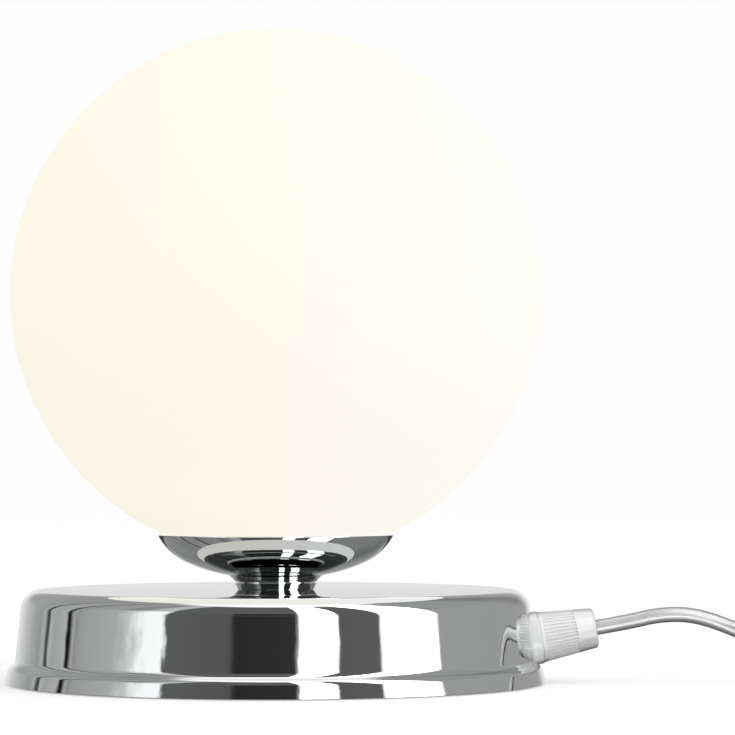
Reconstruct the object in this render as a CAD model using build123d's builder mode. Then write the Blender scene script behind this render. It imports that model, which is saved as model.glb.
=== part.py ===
from build123d import *

import math
import os

# Globe table lamp: an opal glass ball in a polished cup, on a turned collar and a spun drum base.
# A thin flex leaves the drum through a ribbed cord grip, and carries a rocker switch and a flat plug.
# The origin is on the table under the middle of the base, +Z is up, and the flex leaves towards +X.
# Lengths are millimetres and angles are degrees.

# Drum base, spun from sheet
foot_diameter = 142.0
base_height = 24.6
rim_lift = 0.4
lip_height = 3.3
lip_draft = 12.0
shoulder_radius = 2.06
shoulder_slope = 60.0
wall_draft = 5.7
top_edge_radius = 4.75
base_sheet = 0.8

# Bottom plate, its posts and screws, and the felt under it
pad_thickness = 2.0
pad_margin = 4.0
plate_thickness = 1.0
plate_clearance = 0.3
post_count = 3
post_offset = 46.0
post_diameter = 7.0
plate_screw_diameter = 4.0
plate_screw_length = 8.0
screw_head_diameter = 7.6
screw_head_height = 1.5
screw_clearance = 0.1
felt_hole_margin = 1.2

# Threaded tube that clamps the stack, with its washer and nut
tube_diameter = 10.0
tube_bore = 7.6
thread_clearance = 0.1
washer_diameter = 18.0
washer_thickness = 1.0
nut_across_flats = 14.0
nut_thickness = 4.0
tube_overhang = 1.0

# Turned collar between base and cup
collar_height = 3.9
collar_foot_diameter = 20.0
collar_waist_diameter = 21.8
collar_head_diameter = 26.0
collar_groove_height = 2.0
collar_groove_width = 0.4
collar_groove_depth = 0.5
collar_flare_radius = 3.5

# Gallery cup
cup_rim_diameter = 62.4
cup_depth = 10.6
cup_sheet = 1.0
cup_floor_angle = 10.0
cup_rim_angle = 62.0
cup_rim_round = 0.35

# Glass globe, its short neck and the ring that the neck stands on
globe_diameter = 140.0
globe_wall = 3.0
globe_rim_gap = 0.4
neck_depth = 4.4
neck_wall = 2.6
neck_clearance = 0.5
neck_round = 0.7
ring_lip = 0.4
ring_gap = 0.1
ring_seat_gap = 0.3

# Sprung spider that grips the inside of the neck
spring_sheet = 0.5
spring_arms = 3
spring_arm_width = 6.0
spring_hub_diameter = 20.0
spring_bend_radius = 1.4
spring_gap = 0.3
spring_grip_height = 2.8
spring_tip_rise = 3.6
spring_tip_inset = 2.6

# Lampholder
holder_diameter = 27.0
holder_wall = 2.2
holder_base_height = 17.0
holder_thread_depth = 9.0
holder_boss_diameter = 19.0
holder_boss_height = 4.0
holder_ledge = 1.3
holder_sleeve_height = 31.0
holder_round = 1.2
block_height = 3.0
block_clearance = 0.15
shell_bore = 15.0
shell_sheet = 0.5
shell_height = 24.0
contact_sheet = 0.4
contact_width = 4.0
contact_length = 8.0
contact_rise = 4.6

# Bulb with a small screw cap
bulb_gap = 0.3
bulb_diameter = 45.0
bulb_length = 78.0
bulb_cap_diameter = 13.8
bulb_cap_height = 17.5
bulb_tip_diameter = 4.8
bulb_tip_height = 1.6
bulb_insulator_height = 2.9
bulb_body_height = 22.0
bulb_shoulder_diameter = 17.0
bulb_flank_lean = 0.2

# Cord grip in the wall of the drum
grip_height = 11.6
grip_tilt = 9.7
grip_collar_diameter = 13.9
grip_collar_thickness = 2.2
grip_collar_round = 0.5
grip_thread_diameter = 10.0
grip_thread_length = 9.0
grip_nose_diameter = 9.4
grip_nose_length = 9.0
collet_slot_width = 0.8
collet_slot_length = 4.0
grip_cap_diameter = 13.4
grip_mouth_diameter = 10.4
grip_cap_length = 14.7
grip_cap_round = 0.9
grip_flutes = 40
flute_radius = 0.3
flute_length = 8.6
flute_start = 0.9
grip_nut_across_flats = 13.0
grip_nut_thickness = 3.5
grip_nut_gap = 0.9

# Flex, its cores and its path inside the lamp
cord_diameter = 4.0
cord_grip_clearance = 0.25
core_diameter = 1.6
core_offset = 0.95
core_socket_offset = 4.6
core_socket_depth = 2.0
inner_cord_height = 6.3
inner_bend_radius = 10.5
inner_slope_radius = 40.0
cord_top_rise = 1.4
bend_share = 0.45

# Free flex from the mouth of the grip to the switch: distance from the mouth, sideways, height
exit_run = 9.0
first_stretch = [
    (17.0, 0.0, 17.9),
    (26.0, 0.0, 17.9),
    (36.0, 0.0, 14.6),
    (48.5, -3.5, 8.6),
    (58.0, -12.0, 3.6),
    (63.0, -25.5, 2.1),
    (65.5, -41.5, 2.05),
    (76.0, -54.0, 2.05),
    (92.0, -58.5, 2.05),
    (107.5, -52.5, 2.7),
]
switch_approach = 16.0
switch_run = 15.0

# Rocker switch on the flex
switch_heading = 60.0
switch_length = 52.0
switch_width = 22.0
switch_depth = 14.0
switch_corner_radius = 8.0
switch_top_round = 2.6
switch_foot_round = 1.0
switch_split_height = 5.5
nozzle_length = 5.0
nozzle_root_diameter = 8.4
nozzle_mouth_diameter = 6.4
rocker_length = 23.0
rocker_width = 10.8
rocker_gap = 0.3
rocker_swing_gap = 1.1
rocker_tilt = 8.0
rocker_pivot_height = 10.0
rocker_pivot_diameter = 2.4
rocker_pivot_length = 1.6
rocker_pivot_clearance = 0.06
rocker_dip = 1.6
rocker_rise = 1.9
rocker_cheek = 4.0
rocker_keel_width = 8.0
rocker_keel_depth = 2.2
pocket_floor_gap = 1.0
switch_screw_spacing = 36.0
switch_screw_diameter = 2.2
switch_screw_length = 8.0
switch_screw_head = 5.0
switch_screw_head_height = 1.5

# Wound length of the flex, tied
lead_in = 26.0
coil_mean_radius = 24.0
coil_turns_per_layer = 2.0
coil_layers = 4
coil_climb_turns = 0.5
coil_pitch = 4.5
coil_base_height = 3.0
coil_way_step = 0.004
coil_samples = 1400
tie_angle = 60.0
tie_width = 6.0
tie_sheet = 0.6
tie_clearance = 0.4
tie_corner_radius = 3.0

# Tail from the coil down to the plug
tail_length = 42.0
tail_level_run = 11.5

# Flat two-pin plug
relief_length = 20.0
relief_mouth_diameter = 6.4
relief_root_diameter = 10.0
plug_thickness = 13.7
plug_length = 36.0
plug_width = 35.3
plug_face_width = 27.0
plug_tail_width = 14.0
plug_widest_from = 19.8
plug_widest_to = 28.8
plug_corner_radius = 3.0
plug_edge_round = 2.4
pin_diameter = 4.0
pin_length = 19.0
pin_spacing = 18.6
pin_tip_round = 1.2

os.makedirs("parts", exist_ok=True)


def save(piece, name):
    """Label a finished piece and write it to its own file."""
    piece.part.label = name
    export_step(piece.part, f"parts/{name}.step")


# Drum base. The outline runs up the leaning lip, over the shoulder, up the tapered wall and onto the top.
foot_radius = foot_diameter / 2
lip_top = rim_lift + lip_height
draft_cos = math.cos(math.radians(wall_draft))
draft_sin = math.sin(math.radians(wall_draft))
lip_cos = math.cos(math.radians(lip_draft))
lip_sin = math.sin(math.radians(lip_draft))
slope_cos = math.cos(math.radians(shoulder_slope))
slope_sin = math.sin(math.radians(shoulder_slope))
lip_head = Vector(foot_radius - lip_height * lip_sin / lip_cos, lip_top)
bead_centre = lip_head - Vector(lip_cos, lip_sin) * shoulder_radius
cove_centre = bead_centre + Vector(slope_cos, slope_sin) * (2 * shoulder_radius)
wall_foot_radius = cove_centre.X - shoulder_radius * draft_cos
wall_foot_height = cove_centre.Y - shoulder_radius * draft_sin
crown_height = base_height - top_edge_radius
crown_inset = top_edge_radius + (crown_height - wall_foot_height) * draft_sin
crown_radius = wall_foot_radius - crown_inset / draft_cos
base_ceiling = base_height - base_sheet


def wall_radius_at(height):
    """Outer radius of the drum's tapered wall at a height."""
    return wall_foot_radius - (height - wall_foot_height) * draft_sin / draft_cos


def drum_solid(inset):
    """The drum filled in, with its outline moved inwards by inset."""
    with BuildPart() as drum:
        with BuildSketch(Plane.XZ):
            with BuildLine():
                bead_turn = shoulder_slope - lip_draft
                bead = CenterArc(bead_centre, shoulder_radius - inset, lip_draft, bead_turn)
                lip = Line((foot_radius - inset / lip_cos, rim_lift), bead @ 0)
                cove_turn = wall_draft - shoulder_slope
                cove = CenterArc(cove_centre, shoulder_radius + inset, 180 + shoulder_slope, cove_turn)
                crown_centre = (crown_radius, crown_height)
                crown = CenterArc(crown_centre, top_edge_radius - inset, wall_draft, 90 - wall_draft)
                Line(cove @ 1, crown @ 0)
                Polyline(crown @ 1, (0, base_height - inset), (0, rim_lift), lip @ 0)
            make_face()
        revolve(axis=Axis.Z)
    return drum.part


# The cord grip's axis rises out of the wall towards +X.
grip_seat = Vector(wall_radius_at(grip_height), 0, grip_height)
grip_axis = Vector(math.cos(math.radians(grip_tilt)), 0, math.sin(math.radians(grip_tilt)))
grip_plane = Plane(origin=grip_seat, x_dir=(0, 1, 0), z_dir=grip_axis)
cord_radius = cord_diameter / 2
grip_mouth = grip_seat + grip_axis * (grip_collar_thickness + grip_cap_length)
tube_radius = tube_diameter / 2
grip_thread_radius = grip_thread_diameter / 2

with BuildPart() as base_shell:
    add(drum_solid(0))
    add(drum_solid(base_sheet), mode=Mode.SUBTRACT)
    with BuildSketch(Plane.XY.offset(base_height)):
        Circle(tube_radius + thread_clearance)
    extrude(amount=-2 * base_sheet, mode=Mode.SUBTRACT)
    with BuildSketch(grip_plane):
        Circle(grip_thread_radius + thread_clearance)
    extrude(amount=grip_collar_thickness + base_sheet, both=True, mode=Mode.SUBTRACT)
save(base_shell, "base_shell")


# Bottom plate, held by screws into posts that hang from the drum's top.
plate_top = pad_thickness + plate_thickness
plate_inset = (base_sheet + (plate_top - rim_lift) * lip_sin) / lip_cos
plate_radius = foot_radius - plate_inset - plate_clearance
post_angle = 180.0 / post_count
screw_radius = plate_screw_diameter / 2

with BuildPart() as base_plate:
    with BuildSketch(Plane.XY.offset(pad_thickness)):
        Circle(plate_radius)
        with PolarLocations(post_offset, post_count, start_angle=post_angle):
            Circle(screw_radius + screw_clearance, mode=Mode.SUBTRACT)
    extrude(amount=plate_thickness)
save(base_plate, "base_plate")

with BuildPart() as plate_posts:
    with BuildSketch(Plane.XY.offset(plate_top)):
        with PolarLocations(post_offset, post_count, start_angle=post_angle):
            Circle(post_diameter / 2)
            Circle(screw_radius + screw_clearance, mode=Mode.SUBTRACT)
    extrude(amount=base_ceiling - plate_top)
save(plate_posts, "plate_posts")

with BuildPart() as plate_screws:
    with BuildSketch(Plane.XY.offset(pad_thickness)):
        with PolarLocations(post_offset, post_count, start_angle=post_angle):
            Circle(screw_head_diameter / 2)
    extrude(amount=-screw_head_height)
    fillet(plate_screws.edges().group_by(Axis.Z)[0], radius=screw_head_height / 2)
    with BuildSketch(Plane.XY.offset(pad_thickness)):
        with PolarLocations(post_offset, post_count, start_angle=post_angle):
            Circle(screw_radius)
    extrude(amount=plate_screw_length)
save(plate_screws, "plate_screws")

with BuildPart() as felt_pad:
    with BuildSketch():
        Circle(plate_radius - pad_margin)
        with PolarLocations(post_offset, post_count, start_angle=post_angle):
            Circle(screw_head_diameter / 2 + felt_hole_margin, mode=Mode.SUBTRACT)
    extrude(amount=pad_thickness)
save(felt_pad, "felt_pad")


# Turned collar: a short cone, a fine groove and a flare under the cup.
collar_bore_radius = tube_radius + thread_clearance
waist_radius = collar_waist_diameter / 2
collar_top = base_height + collar_height
groove_low = base_height + collar_groove_height - collar_groove_width / 2
groove_high = groove_low + collar_groove_width

with BuildPart() as neck_collar:
    with BuildSketch(Plane.XZ):
        with BuildLine():
            flare_foot = (waist_radius, groove_high)
            flare_head = (collar_head_diameter / 2, collar_top)
            Polyline(
                (collar_bore_radius, collar_top),
                (collar_bore_radius, base_height),
                (collar_foot_diameter / 2, base_height),
                (waist_radius, groove_low),
                (waist_radius - collar_groove_depth, groove_low),
                (waist_radius - collar_groove_depth, groove_high),
                flare_foot,
            )
            RadiusArc(flare_foot, flare_head, collar_flare_radius)
            Line(flare_head, (collar_bore_radius, collar_top))
        make_face()
    revolve(axis=Axis.Z)
save(neck_collar, "neck_collar")


# Gallery cup. Its wall is two arcs that meet smoothly, from the flat floor up to the rim.
def smooth_joint(start, start_way, end, end_way):
    """The point where two arcs meet smoothly between two points with given directions."""
    chord = end - start
    ways = start_way + end_way
    spread = 1 - start_way.dot(end_way)
    along = chord.dot(ways)
    if spread < 1e-9:
        return (start + end) * 0.5
    reach = (math.sqrt(along * along + 2 * spread * chord.dot(chord)) - along) / (2 * spread)
    return (start + end + (start_way - end_way) * reach) * 0.5


def arc_centre(point, way, other):
    """Centre of the arc that leaves a point in a direction, turning left, and reaches another point."""
    left = Vector(-way.Y, way.X)
    chord = other - point
    return point + left * (chord.dot(chord) / (2 * chord.dot(left)))


cup_start = Vector(collar_head_diameter / 2, collar_top)
cup_end = Vector(cup_rim_diameter / 2, collar_top + cup_depth)
start_way = Vector(math.cos(math.radians(cup_floor_angle)), math.sin(math.radians(cup_floor_angle)))
end_way = Vector(math.cos(math.radians(cup_rim_angle)), math.sin(math.radians(cup_rim_angle)))
cup_joint = smooth_joint(cup_start, start_way, cup_end, end_way)
belly_centre = arc_centre(cup_start, start_way, cup_joint)
joint_way = Vector(belly_centre.Y - cup_joint.Y, cup_joint.X - belly_centre.X)
flank_centre = arc_centre(cup_joint, joint_way, cup_end)
belly_radius = (cup_joint - belly_centre).length
flank_radius = (cup_end - flank_centre).length
rim_height = cup_end.Y


def cup_radius_at(height, inset):
    """Radius of the cup's upper arc at a height, moved inwards by inset."""
    return flank_centre.X + math.sqrt((flank_radius - inset) ** 2 - (height - flank_centre.Y) ** 2)


def bowl_solid(inset):
    """The cup filled in, with its wall moved inwards by inset."""
    low = cup_start + (belly_centre - cup_start).normalized() * inset
    middle = cup_joint + (belly_centre - cup_joint).normalized() * inset
    high = Vector(cup_radius_at(rim_height, inset), rim_height)
    belly_mid = (low + middle) * 0.5 - belly_centre
    flank_mid = (middle + high) * 0.5 - flank_centre
    with BuildPart() as bowl:
        with BuildSketch(Plane.XZ):
            with BuildLine():
                ThreePointArc(low, belly_centre + belly_mid.normalized() * (belly_radius - inset), middle)
                ThreePointArc(middle, flank_centre + flank_mid.normalized() * (flank_radius - inset), high)
                Polyline(high, (0, rim_height), (0, low.Y), low)
            make_face()
        revolve(axis=Axis.Z)
    return bowl.part


cup_floor = collar_top + cup_sheet * math.cos(math.radians(cup_floor_angle))

with BuildPart() as gallery_cup:
    add(bowl_solid(0))
    add(bowl_solid(cup_sheet), mode=Mode.SUBTRACT)
    fillet(gallery_cup.edges().group_by(Axis.Z)[-1], radius=cup_rim_round)
    with BuildSketch(Plane.XY.offset(collar_top)):
        Circle(tube_radius + thread_clearance)
    extrude(amount=2 * cup_sheet, mode=Mode.SUBTRACT)
save(gallery_cup, "gallery_cup")


# Glass globe: a ball that just enters the rim, drawn into a short neck that stands in the cup.
globe_radius = globe_diameter / 2
globe_inner_radius = globe_radius - globe_wall
rim_inner_radius = cup_radius_at(rim_height, cup_sheet)
globe_centre = rim_height + math.sqrt(globe_radius**2 - (rim_inner_radius - globe_rim_gap) ** 2)
neck_end = rim_height - neck_depth
neck_radius = cup_radius_at(neck_end, cup_sheet) - neck_clearance
neck_bore_radius = neck_radius - neck_wall
neck_root = globe_centre - math.sqrt(globe_radius**2 - neck_radius**2)
neck_throat = globe_centre - math.sqrt(globe_inner_radius**2 - neck_bore_radius**2)

with BuildPart() as glass_globe:
    with BuildSketch(Plane.XZ):
        with BuildLine():
            outside = ThreePointArc(
                (0, globe_centre + globe_radius), (globe_radius, globe_centre), (neck_radius, neck_root)
            )
            inside = ThreePointArc(
                (0, globe_centre + globe_inner_radius),
                (globe_inner_radius, globe_centre),
                (neck_bore_radius, neck_throat),
            )
            Polyline(outside @ 1, (neck_radius, neck_end), (neck_bore_radius, neck_end), inside @ 1)
            Line(inside @ 0, outside @ 0)
        make_face()
    revolve(axis=Axis.Z)
    fillet(glass_globe.edges().group_by(Axis.Z)[0], radius=neck_round)
save(glass_globe, "glass_globe")

with BuildPart() as neck_ring:
    with BuildSketch(Plane.XY.offset(neck_end - ring_gap)):
        Circle(neck_radius)
        Circle(neck_bore_radius - ring_lip, mode=Mode.SUBTRACT)
    extrude(amount=-cup_depth)
    add(bowl_solid(cup_sheet + ring_seat_gap), mode=Mode.INTERSECT)
save(neck_ring, "neck_ring")


# Sprung spider: a flat hub under the lampholder and three arms that bow out against the neck's bore.
spring_top = cup_floor + spring_sheet
spring_line = cup_floor + spring_sheet / 2
grip_radius = neck_bore_radius - spring_gap - spring_sheet / 2
grip_level = neck_end + spring_grip_height
arm_start = spring_hub_diameter / 2 - spring_sheet
arm_bend = collar_head_diameter / 2 - spring_sheet

with BuildPart() as neck_spring:
    with BuildSketch(Plane.XY.offset(cup_floor)):
        Circle(spring_hub_diameter / 2)
        Circle(tube_radius + thread_clearance, mode=Mode.SUBTRACT)
    extrude(amount=spring_sheet)
    for arm in range(spring_arms):
        turn = math.radians(360 * arm / spring_arms)
        out = (math.cos(turn), math.sin(turn), 0)
        side = (math.sin(turn), -math.cos(turn), 0)
        with BuildSketch(Plane(origin=(0, 0, 0), x_dir=out, z_dir=side)):
            with BuildLine():
                FilletPolyline(
                    (arm_start, spring_line),
                    (arm_bend, spring_line),
                    (grip_radius, grip_level),
                    (grip_radius - spring_tip_inset, grip_level + spring_tip_rise),
                    radius=spring_bend_radius,
                )
            trace(line_width=spring_sheet)
        extrude(amount=spring_arm_width / 2, both=True)
save(neck_spring, "neck_spring")


# Threaded tube, washer and nut: the lampholder screws on above and the nut pulls up below.
holder_foot = spring_top
tube_top = holder_foot + holder_thread_depth - tube_overhang
washer_low = base_ceiling - washer_thickness
nut_low = washer_low - nut_thickness

with BuildPart() as threaded_tube:
    with BuildSketch(Plane.XY.offset(nut_low - tube_overhang)):
        Circle(tube_radius)
        Circle(tube_bore / 2, mode=Mode.SUBTRACT)
    extrude(amount=tube_top - nut_low + tube_overhang)
save(threaded_tube, "threaded_tube")

with BuildPart() as tube_washer:
    with BuildSketch(Plane.XY.offset(washer_low)):
        Circle(washer_diameter / 2)
        Circle(tube_radius + thread_clearance, mode=Mode.SUBTRACT)
    extrude(amount=washer_thickness)
save(tube_washer, "tube_washer")

with BuildPart() as tube_nut:
    with BuildSketch(Plane.XY.offset(nut_low)):
        RegularPolygon(nut_across_flats / 2, 6, major_radius=False)
        Circle(tube_radius + thread_clearance, mode=Mode.SUBTRACT)
    extrude(amount=nut_thickness)
save(tube_nut, "tube_nut")


# Lampholder: a lower cap on the tube, a contact block on its ledge, a sleeve and the contacts.
holder_radius = holder_diameter / 2
holder_inner_radius = holder_radius - holder_wall
holder_joint = holder_foot + holder_base_height
block_low = holder_joint - block_height
chamber_radius = holder_inner_radius - holder_ledge
chamber_depth = holder_base_height - holder_thread_depth
core_sockets = [(-core_socket_offset, 0), (core_socket_offset, 0)]

with BuildPart() as holder_base:
    with BuildSketch(Plane.XY.offset(holder_foot + holder_boss_height)):
        Circle(holder_radius)
    extrude(amount=holder_base_height - holder_boss_height)
    fillet(holder_base.edges().group_by(Axis.Z)[0], radius=holder_round)
    with BuildSketch(Plane.XY.offset(holder_foot)):
        Circle(holder_boss_diameter / 2)
    extrude(amount=holder_boss_height)
    with Locations((0, 0, holder_joint)):
        CounterBoreHole(chamber_radius, holder_inner_radius, block_height, chamber_depth)
        Hole(tube_radius + thread_clearance)
save(holder_base, "holder_base")

with BuildPart() as contact_block:
    with BuildSketch(Plane.XY.offset(block_low)):
        Circle(holder_inner_radius - block_clearance)
    extrude(amount=block_height)
    with BuildSketch(Plane.XY.offset(block_low)):
        with Locations(*core_sockets):
            Circle(core_diameter / 2 + thread_clearance)
    extrude(amount=core_socket_depth, mode=Mode.SUBTRACT)
save(contact_block, "contact_block")

with BuildPart() as holder_sleeve:
    with BuildSketch(Plane.XY.offset(holder_joint)):
        Circle(holder_radius)
        Circle(holder_inner_radius, mode=Mode.SUBTRACT)
    extrude(amount=holder_sleeve_height)
    fillet(holder_sleeve.edges().group_by(Axis.Z)[-1], radius=holder_wall / 3)
save(holder_sleeve, "holder_sleeve")

with BuildPart() as screw_shell:
    with BuildSketch(Plane.XY.offset(holder_joint)):
        Circle(shell_bore / 2 + shell_sheet)
        Circle(shell_bore / 2, mode=Mode.SUBTRACT)
    extrude(amount=shell_height)
save(screw_shell, "screw_shell")

contact_line = holder_joint + contact_sheet / 2
contact_top = holder_joint + contact_rise

with BuildPart() as centre_contact:
    with BuildSketch(Plane.XZ):
        with BuildLine():
            FilletPolyline(
                (-contact_length / 2, contact_line),
                (contact_length / 3, contact_line),
                (contact_length / 2, (contact_line + contact_top) / 2),
                (-contact_length / 4, contact_top - contact_sheet),
                radius=2 * contact_sheet,
            )
        trace(line_width=contact_sheet)
    extrude(amount=contact_width / 2, both=True)
save(centre_contact, "centre_contact")


# Bulb: tip, insulator, screw cap, flared body and round dome, all turned about one axis.
bulb_foot = contact_top + bulb_gap
insulator_low = bulb_foot + bulb_tip_height
cap_low = insulator_low + bulb_insulator_height
cap_high = cap_low + bulb_cap_height
body_high = cap_high + bulb_body_height
bulb_top = bulb_foot + bulb_length
bulb_radius = bulb_diameter / 2
dome_centre = bulb_top - bulb_radius
dome_foot_radius = math.sqrt(bulb_radius**2 - (dome_centre - body_high) ** 2)
cap_radius = bulb_cap_diameter / 2

with BuildPart() as bulb_tip:
    with BuildSketch(Plane.XY.offset(bulb_foot)):
        Circle(bulb_tip_diameter / 2)
    extrude(amount=bulb_tip_height)
    fillet(bulb_tip.edges().group_by(Axis.Z)[0], radius=bulb_tip_height / 2)
save(bulb_tip, "bulb_tip")

with BuildPart() as bulb_insulator:
    with BuildSketch(Plane.XY.offset(insulator_low)):
        Circle(bulb_tip_diameter / 2)
    with BuildSketch(Plane.XY.offset(cap_low)):
        Circle(cap_radius)
    loft()
save(bulb_insulator, "bulb_insulator")

with BuildPart() as bulb_cap:
    with BuildSketch(Plane.XY.offset(cap_low)):
        Circle(cap_radius)
    extrude(amount=bulb_cap_height)
save(bulb_cap, "bulb_cap")

with BuildPart() as bulb_body:
    with BuildSketch(Plane.XZ):
        with BuildLine():
            shoulder = (bulb_shoulder_diameter / 2, cap_high)
            flank = TangentArc(shoulder, (dome_foot_radius, body_high), tangent=(bulb_flank_lean, 1))
            Polyline(flank @ 1, (0, body_high), (0, cap_high), shoulder)
        make_face()
    revolve(axis=Axis.Z)
save(bulb_body, "bulb_body")

with BuildPart() as bulb_dome:
    with BuildSketch(Plane.XZ):
        with BuildLine():
            dome = ThreePointArc((dome_foot_radius, body_high), (bulb_radius, dome_centre), (0, bulb_top))
            Polyline(dome @ 1, (0, body_high), dome @ 0)
        make_face()
    revolve(axis=Axis.Z)
save(bulb_dome, "bulb_dome")


# Cord grip: a body whose collar is cut to the wall, a nut inside, and a fluted cap over the collet.
grip_bore_radius = cord_radius + cord_grip_clearance
nose_end = grip_collar_thickness + grip_nose_length

with BuildPart() as grip_body:
    with BuildSketch(grip_plane.offset(grip_collar_thickness)):
        Circle(grip_collar_diameter / 2)
    extrude(amount=-2 * grip_collar_thickness)
    fillet(grip_body.edges().group_by(Axis(grip_seat, grip_axis))[-1], radius=grip_collar_round)
    add(drum_solid(0), mode=Mode.SUBTRACT)
    with BuildSketch(grip_plane.offset(grip_collar_thickness)):
        Circle(grip_thread_radius)
    extrude(amount=-grip_collar_thickness - grip_thread_length)
    with BuildSketch(grip_plane.offset(grip_collar_thickness)):
        Circle(grip_nose_diameter / 2)
    extrude(amount=grip_nose_length)
    with BuildSketch(grip_plane.offset(nose_end)):
        Rectangle(collet_slot_width, grip_nose_diameter)
        Rectangle(grip_nose_diameter, collet_slot_width)
    extrude(amount=-collet_slot_length, mode=Mode.SUBTRACT)
    with BuildSketch(grip_plane.offset(nose_end)):
        Circle(grip_bore_radius)
    extrude(amount=-nose_end - grip_thread_length, mode=Mode.SUBTRACT)
save(grip_body, "grip_body")

with BuildPart() as grip_nut:
    with BuildSketch(grip_plane.offset(-base_sheet - grip_nut_gap)):
        RegularPolygon(grip_nut_across_flats / 2, 6, major_radius=False, rotation=30)
        Circle(grip_thread_radius + thread_clearance, mode=Mode.SUBTRACT)
    extrude(amount=-grip_nut_thickness)
save(grip_nut, "grip_nut")

cap_taper = (grip_cap_diameter - grip_mouth_diameter) / 2 / grip_cap_length
cap_end = grip_collar_thickness + grip_cap_length
cap_thread_radius = grip_nose_diameter / 2 + thread_clearance
grip_side = Plane(origin=grip_seat, x_dir=grip_plane.x_dir, z_dir=-grip_plane.y_dir)


def flute_plane(index):
    """Plane across one flute at its foot, with the flute running along the cap's slope."""
    turn = 2 * math.pi * index / grip_flutes
    out = grip_plane.x_dir * math.cos(turn) + grip_plane.y_dir * math.sin(turn)
    cap_radius_here = grip_cap_diameter / 2 - cap_taper * flute_start
    foot = grip_seat + grip_axis * (grip_collar_thickness + flute_start) + out * cap_radius_here
    return Plane(origin=foot, x_dir=out.cross(grip_axis), z_dir=grip_axis - out * cap_taper)


with BuildPart() as grip_cap:
    with BuildSketch(grip_side):
        with BuildLine():
            Polyline(
                (cap_thread_radius, grip_collar_thickness),
                (grip_cap_diameter / 2, grip_collar_thickness),
                (grip_mouth_diameter / 2, cap_end),
                (grip_bore_radius, cap_end),
                (grip_bore_radius, nose_end + cap_thread_radius - grip_bore_radius),
                (cap_thread_radius, nose_end + thread_clearance),
                close=True,
            )
        make_face()
    revolve(axis=Axis(grip_seat, grip_axis))
    mouth_edges = grip_cap.edges().group_by(Axis(grip_seat, grip_axis))[-1]
    fillet(mouth_edges.sort_by(SortBy.RADIUS)[-1], radius=grip_cap_round)
    with BuildSketch(*[flute_plane(index) for index in range(grip_flutes)]):
        Circle(flute_radius)
    extrude(amount=flute_length, mode=Mode.SUBTRACT)
save(grip_cap, "grip_cap")


# Flex. A route is straight runs joined by arcs that are as large as the runs allow.
def route_radii(points):
    """Radius at each corner: a share of the shorter run over the tangent of half the turn."""
    radii = []
    for before, here, after in zip(points, points[1:], points[2:]):
        first = here - before
        second = after - here
        half_turn = math.radians(first.get_angle(second)) / 2
        radii.append(bend_share * min(first.length, second.length) / math.tan(half_turn))
    return radii


def cord_stretch(name, points, radii):
    """One stretch of the flex as a round tube along a route, with its volume compared."""
    with BuildPart() as stretch:
        with BuildLine() as route:
            FilletPolyline(*points, radius=radii)
        line = route.wires()[0]
        with BuildSketch(Plane(origin=line @ 0, z_dir=line % 0)):
            Circle(cord_radius)
        sweep(path=line)
    expected = math.pi * cord_radius**2 * line.length
    shown = [round(radius, 1) for radius in radii]
    filled = round(stretch.part.volume / expected, 4)
    print(name, "radii", shown, "length", round(line.length, 1), "volume", filled)
    save(stretch, name)
    return line.length


slope_end_x = grip_seat.X - (grip_height - inner_cord_height) / math.tan(math.radians(grip_tilt))
inner_cord_top = holder_foot + holder_thread_depth + cord_top_rise
inner_points = [
    grip_mouth,
    Vector(slope_end_x, 0, inner_cord_height),
    Vector(0, 0, inner_cord_height),
    Vector(0, 0, inner_cord_top),
]
inner_length = cord_stretch("inner_cord", inner_points, [inner_slope_radius, inner_bend_radius])

with BuildPart() as core_leads:
    for side in (-1, 1):
        core_points = [
            Vector(side * core_offset, 0, inner_cord_top),
            Vector(side * core_offset, 0, inner_cord_top + core_diameter / 2),
            Vector(side * core_socket_offset, 0, block_low - core_diameter / 2),
            Vector(side * core_socket_offset, 0, block_low + core_socket_depth),
        ]
        with BuildLine() as lead_line:
            FilletPolyline(*core_points, radius=core_diameter / 2)
        lead_wire = lead_line.wires()[0]
        with BuildSketch(Plane(origin=lead_wire @ 0, z_dir=lead_wire % 0)):
            Circle(core_diameter / 2)
        sweep(path=lead_wire)
save(core_leads, "core_leads")


# First free stretch, out of the grip, down to the table and round to the switch.
heading = Vector(math.cos(math.radians(switch_heading)), math.sin(math.radians(switch_heading)), 0)
leftward = Vector(0, 0, 1).cross(heading)
route_out = [Vector(grip_mouth.X + along, side, up) for along, side, up in first_stretch]
run_foot = route_out[-1] + heading * switch_approach
run_foot = Vector(run_foot.X, run_foot.Y, switch_split_height)
switch_in = run_foot + heading * switch_run
first_points = [grip_mouth, grip_mouth + grip_axis * exit_run] + route_out + [run_foot, switch_in]
first_length = cord_stretch("cord_to_switch", first_points, route_radii(first_points))


# Rocker switch: two halves of one rounded case, a rocker on side pins, and two screws from below.
case_centre = switch_in + heading * (nozzle_length + switch_length / 2)
switch_plane = Plane(origin=(case_centre.X, case_centre.Y, 0), x_dir=heading, z_dir=(0, 0, 1))
switch_out = switch_in + heading * (2 * nozzle_length + switch_length)
pivot = Vector(case_centre.X, case_centre.Y, rocker_pivot_height)
pocket_length = rocker_length + 2 * rocker_swing_gap
pocket_width = rocker_width + 2 * rocker_gap
pocket_floor = switch_split_height + pocket_floor_gap
pin_reach = rocker_width / 2 + rocker_pivot_length
upright_side = Plane(origin=pivot, x_dir=heading, z_dir=-leftward)
screw_spots = [(-switch_screw_spacing / 2, 0), (switch_screw_spacing / 2, 0)]


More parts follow.
